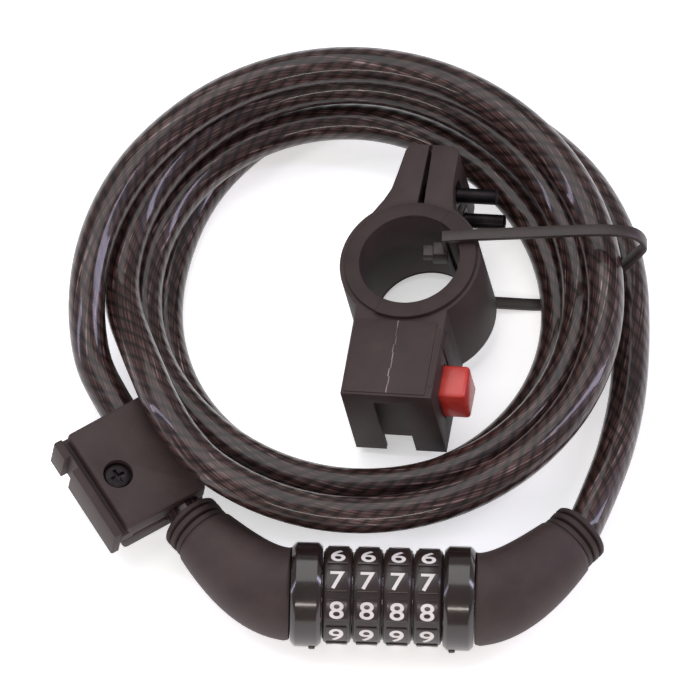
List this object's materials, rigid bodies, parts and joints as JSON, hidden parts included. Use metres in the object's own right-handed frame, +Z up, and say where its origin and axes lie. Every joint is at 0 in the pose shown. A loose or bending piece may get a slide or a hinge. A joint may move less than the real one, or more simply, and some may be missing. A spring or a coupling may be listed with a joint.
{
  "type": "coiled cable lock",
  "caption": "Coiled steel cable lock with an in-line combination dial head, a slide-in carrier clip on the cable, and a tube clamp held to the coil by a cable tie",
  "frame": {"origin": "below the middle of the box around everything but the free cable, on the surface the lock lies on", "axes": "+X along the dial head towards the end that pulls out, within 2 degrees; +Y from the dial head towards the coil; +Z up"},
  "size_m": [0.1957, 0.2159, 0.0498],
  "materials": {
    "gloss_black_plastic": "polished moulding",
    "matte_black_plastic": "fine moulded texture",
    "soft_black_vinyl": "soft matte vinyl",
    "smoked_cable_jacket": "clear smoked vinyl over twisted steel wire",
    "zinc_plated_steel": "turned and plated",
    "black_oxide_steel": "black oxide",
    "brass": "turned",
    "spring_steel": "bright wire",
    "black_nylon": "moulded nylon, semi-gloss",
    "red_plastic": "moulded, semi-gloss"
  },
  "bodies": {
    "lock": {"barrel": "zinc_plated_steel", "detent_spring": "spring_steel", "left_collar": "gloss_black_plastic", "left_sleeve": "matte_black_plastic", "left_ferrule": "zinc_plated_steel", "left_gland": "soft_black_vinyl", "cable_lead_left": "smoked_cable_jacket", "cable_coil": "smoked_cable_jacket", "cable_lead_right": "smoked_cable_jacket", "carrier_front": "matte_black_plastic", "carrier_back": "matte_black_plastic", "carrier_screw": "black_oxide_steel", "clamp_body": "matte_black_plastic", "clamp_liner": "soft_black_vinyl", "clamp_bolt_1": "black_oxide_steel", "clamp_bolt_2": "black_oxide_steel", "clamp_nut_1": "black_oxide_steel", "clamp_nut_2": "black_oxide_steel", "button_spring": "spring_steel", "cable_tie": "black_nylon"},
    "plug": {"right_collar": "gloss_black_plastic", "right_sleeve": "matte_black_plastic", "right_ferrule": "zinc_plated_steel", "right_gland": "soft_black_vinyl", "locking_pin": "zinc_plated_steel"},
    "button": {"release_button": "red_plastic"},
    "dial_1": {"dial_1": "gloss_black_plastic", "code_ring_1": "brass"},
    "dial_2": {"dial_2": "gloss_black_plastic", "code_ring_2": "brass"},
    "dial_3": {"dial_3": "gloss_black_plastic", "code_ring_3": "brass"},
    "dial_4": {"dial_4": "gloss_black_plastic", "code_ring_4": "brass"}
  },
  "joints": [
    {"name": "dial_1_spin", "type": "hinge", "parent": "lock", "child": "dial_1", "pos_m": [-0.00349, -0.07048, 0.017], "axis": [0.9995, -0.0323, 0], "continuous": true},
    {"name": "dial_2_spin", "type": "hinge", "parent": "lock", "child": "dial_2", "pos_m": [0.0063, -0.0708, 0.017], "axis": [0.9995, -0.0323, 0], "continuous": true},
    {"name": "dial_3_spin", "type": "hinge", "parent": "lock", "child": "dial_3", "pos_m": [0.0161, -0.07111, 0.017], "axis": [0.9995, -0.0323, 0], "continuous": true},
    {"name": "dial_4_spin", "type": "hinge", "parent": "lock", "child": "dial_4", "pos_m": [0.02589, -0.07143, 0.017], "axis": [0.9995, -0.0323, 0], "continuous": true},
    {"name": "plug_slide", "type": "slide", "parent": "lock", "child": "plug", "axis": [0.9995, -0.0323, 0], "range_m": [0, 0.04], "deforming": ["cable_lead_right"]},
    {"name": "button_press", "type": "slide", "parent": "lock", "child": "button", "axis": [-0.9755, 0.1545, -0.1564], "range_m": [0, 0.003], "stiffness_N_per_m": 600, "springref_m": -0.0008, "deforming": ["button_spring"]}
  ]
}
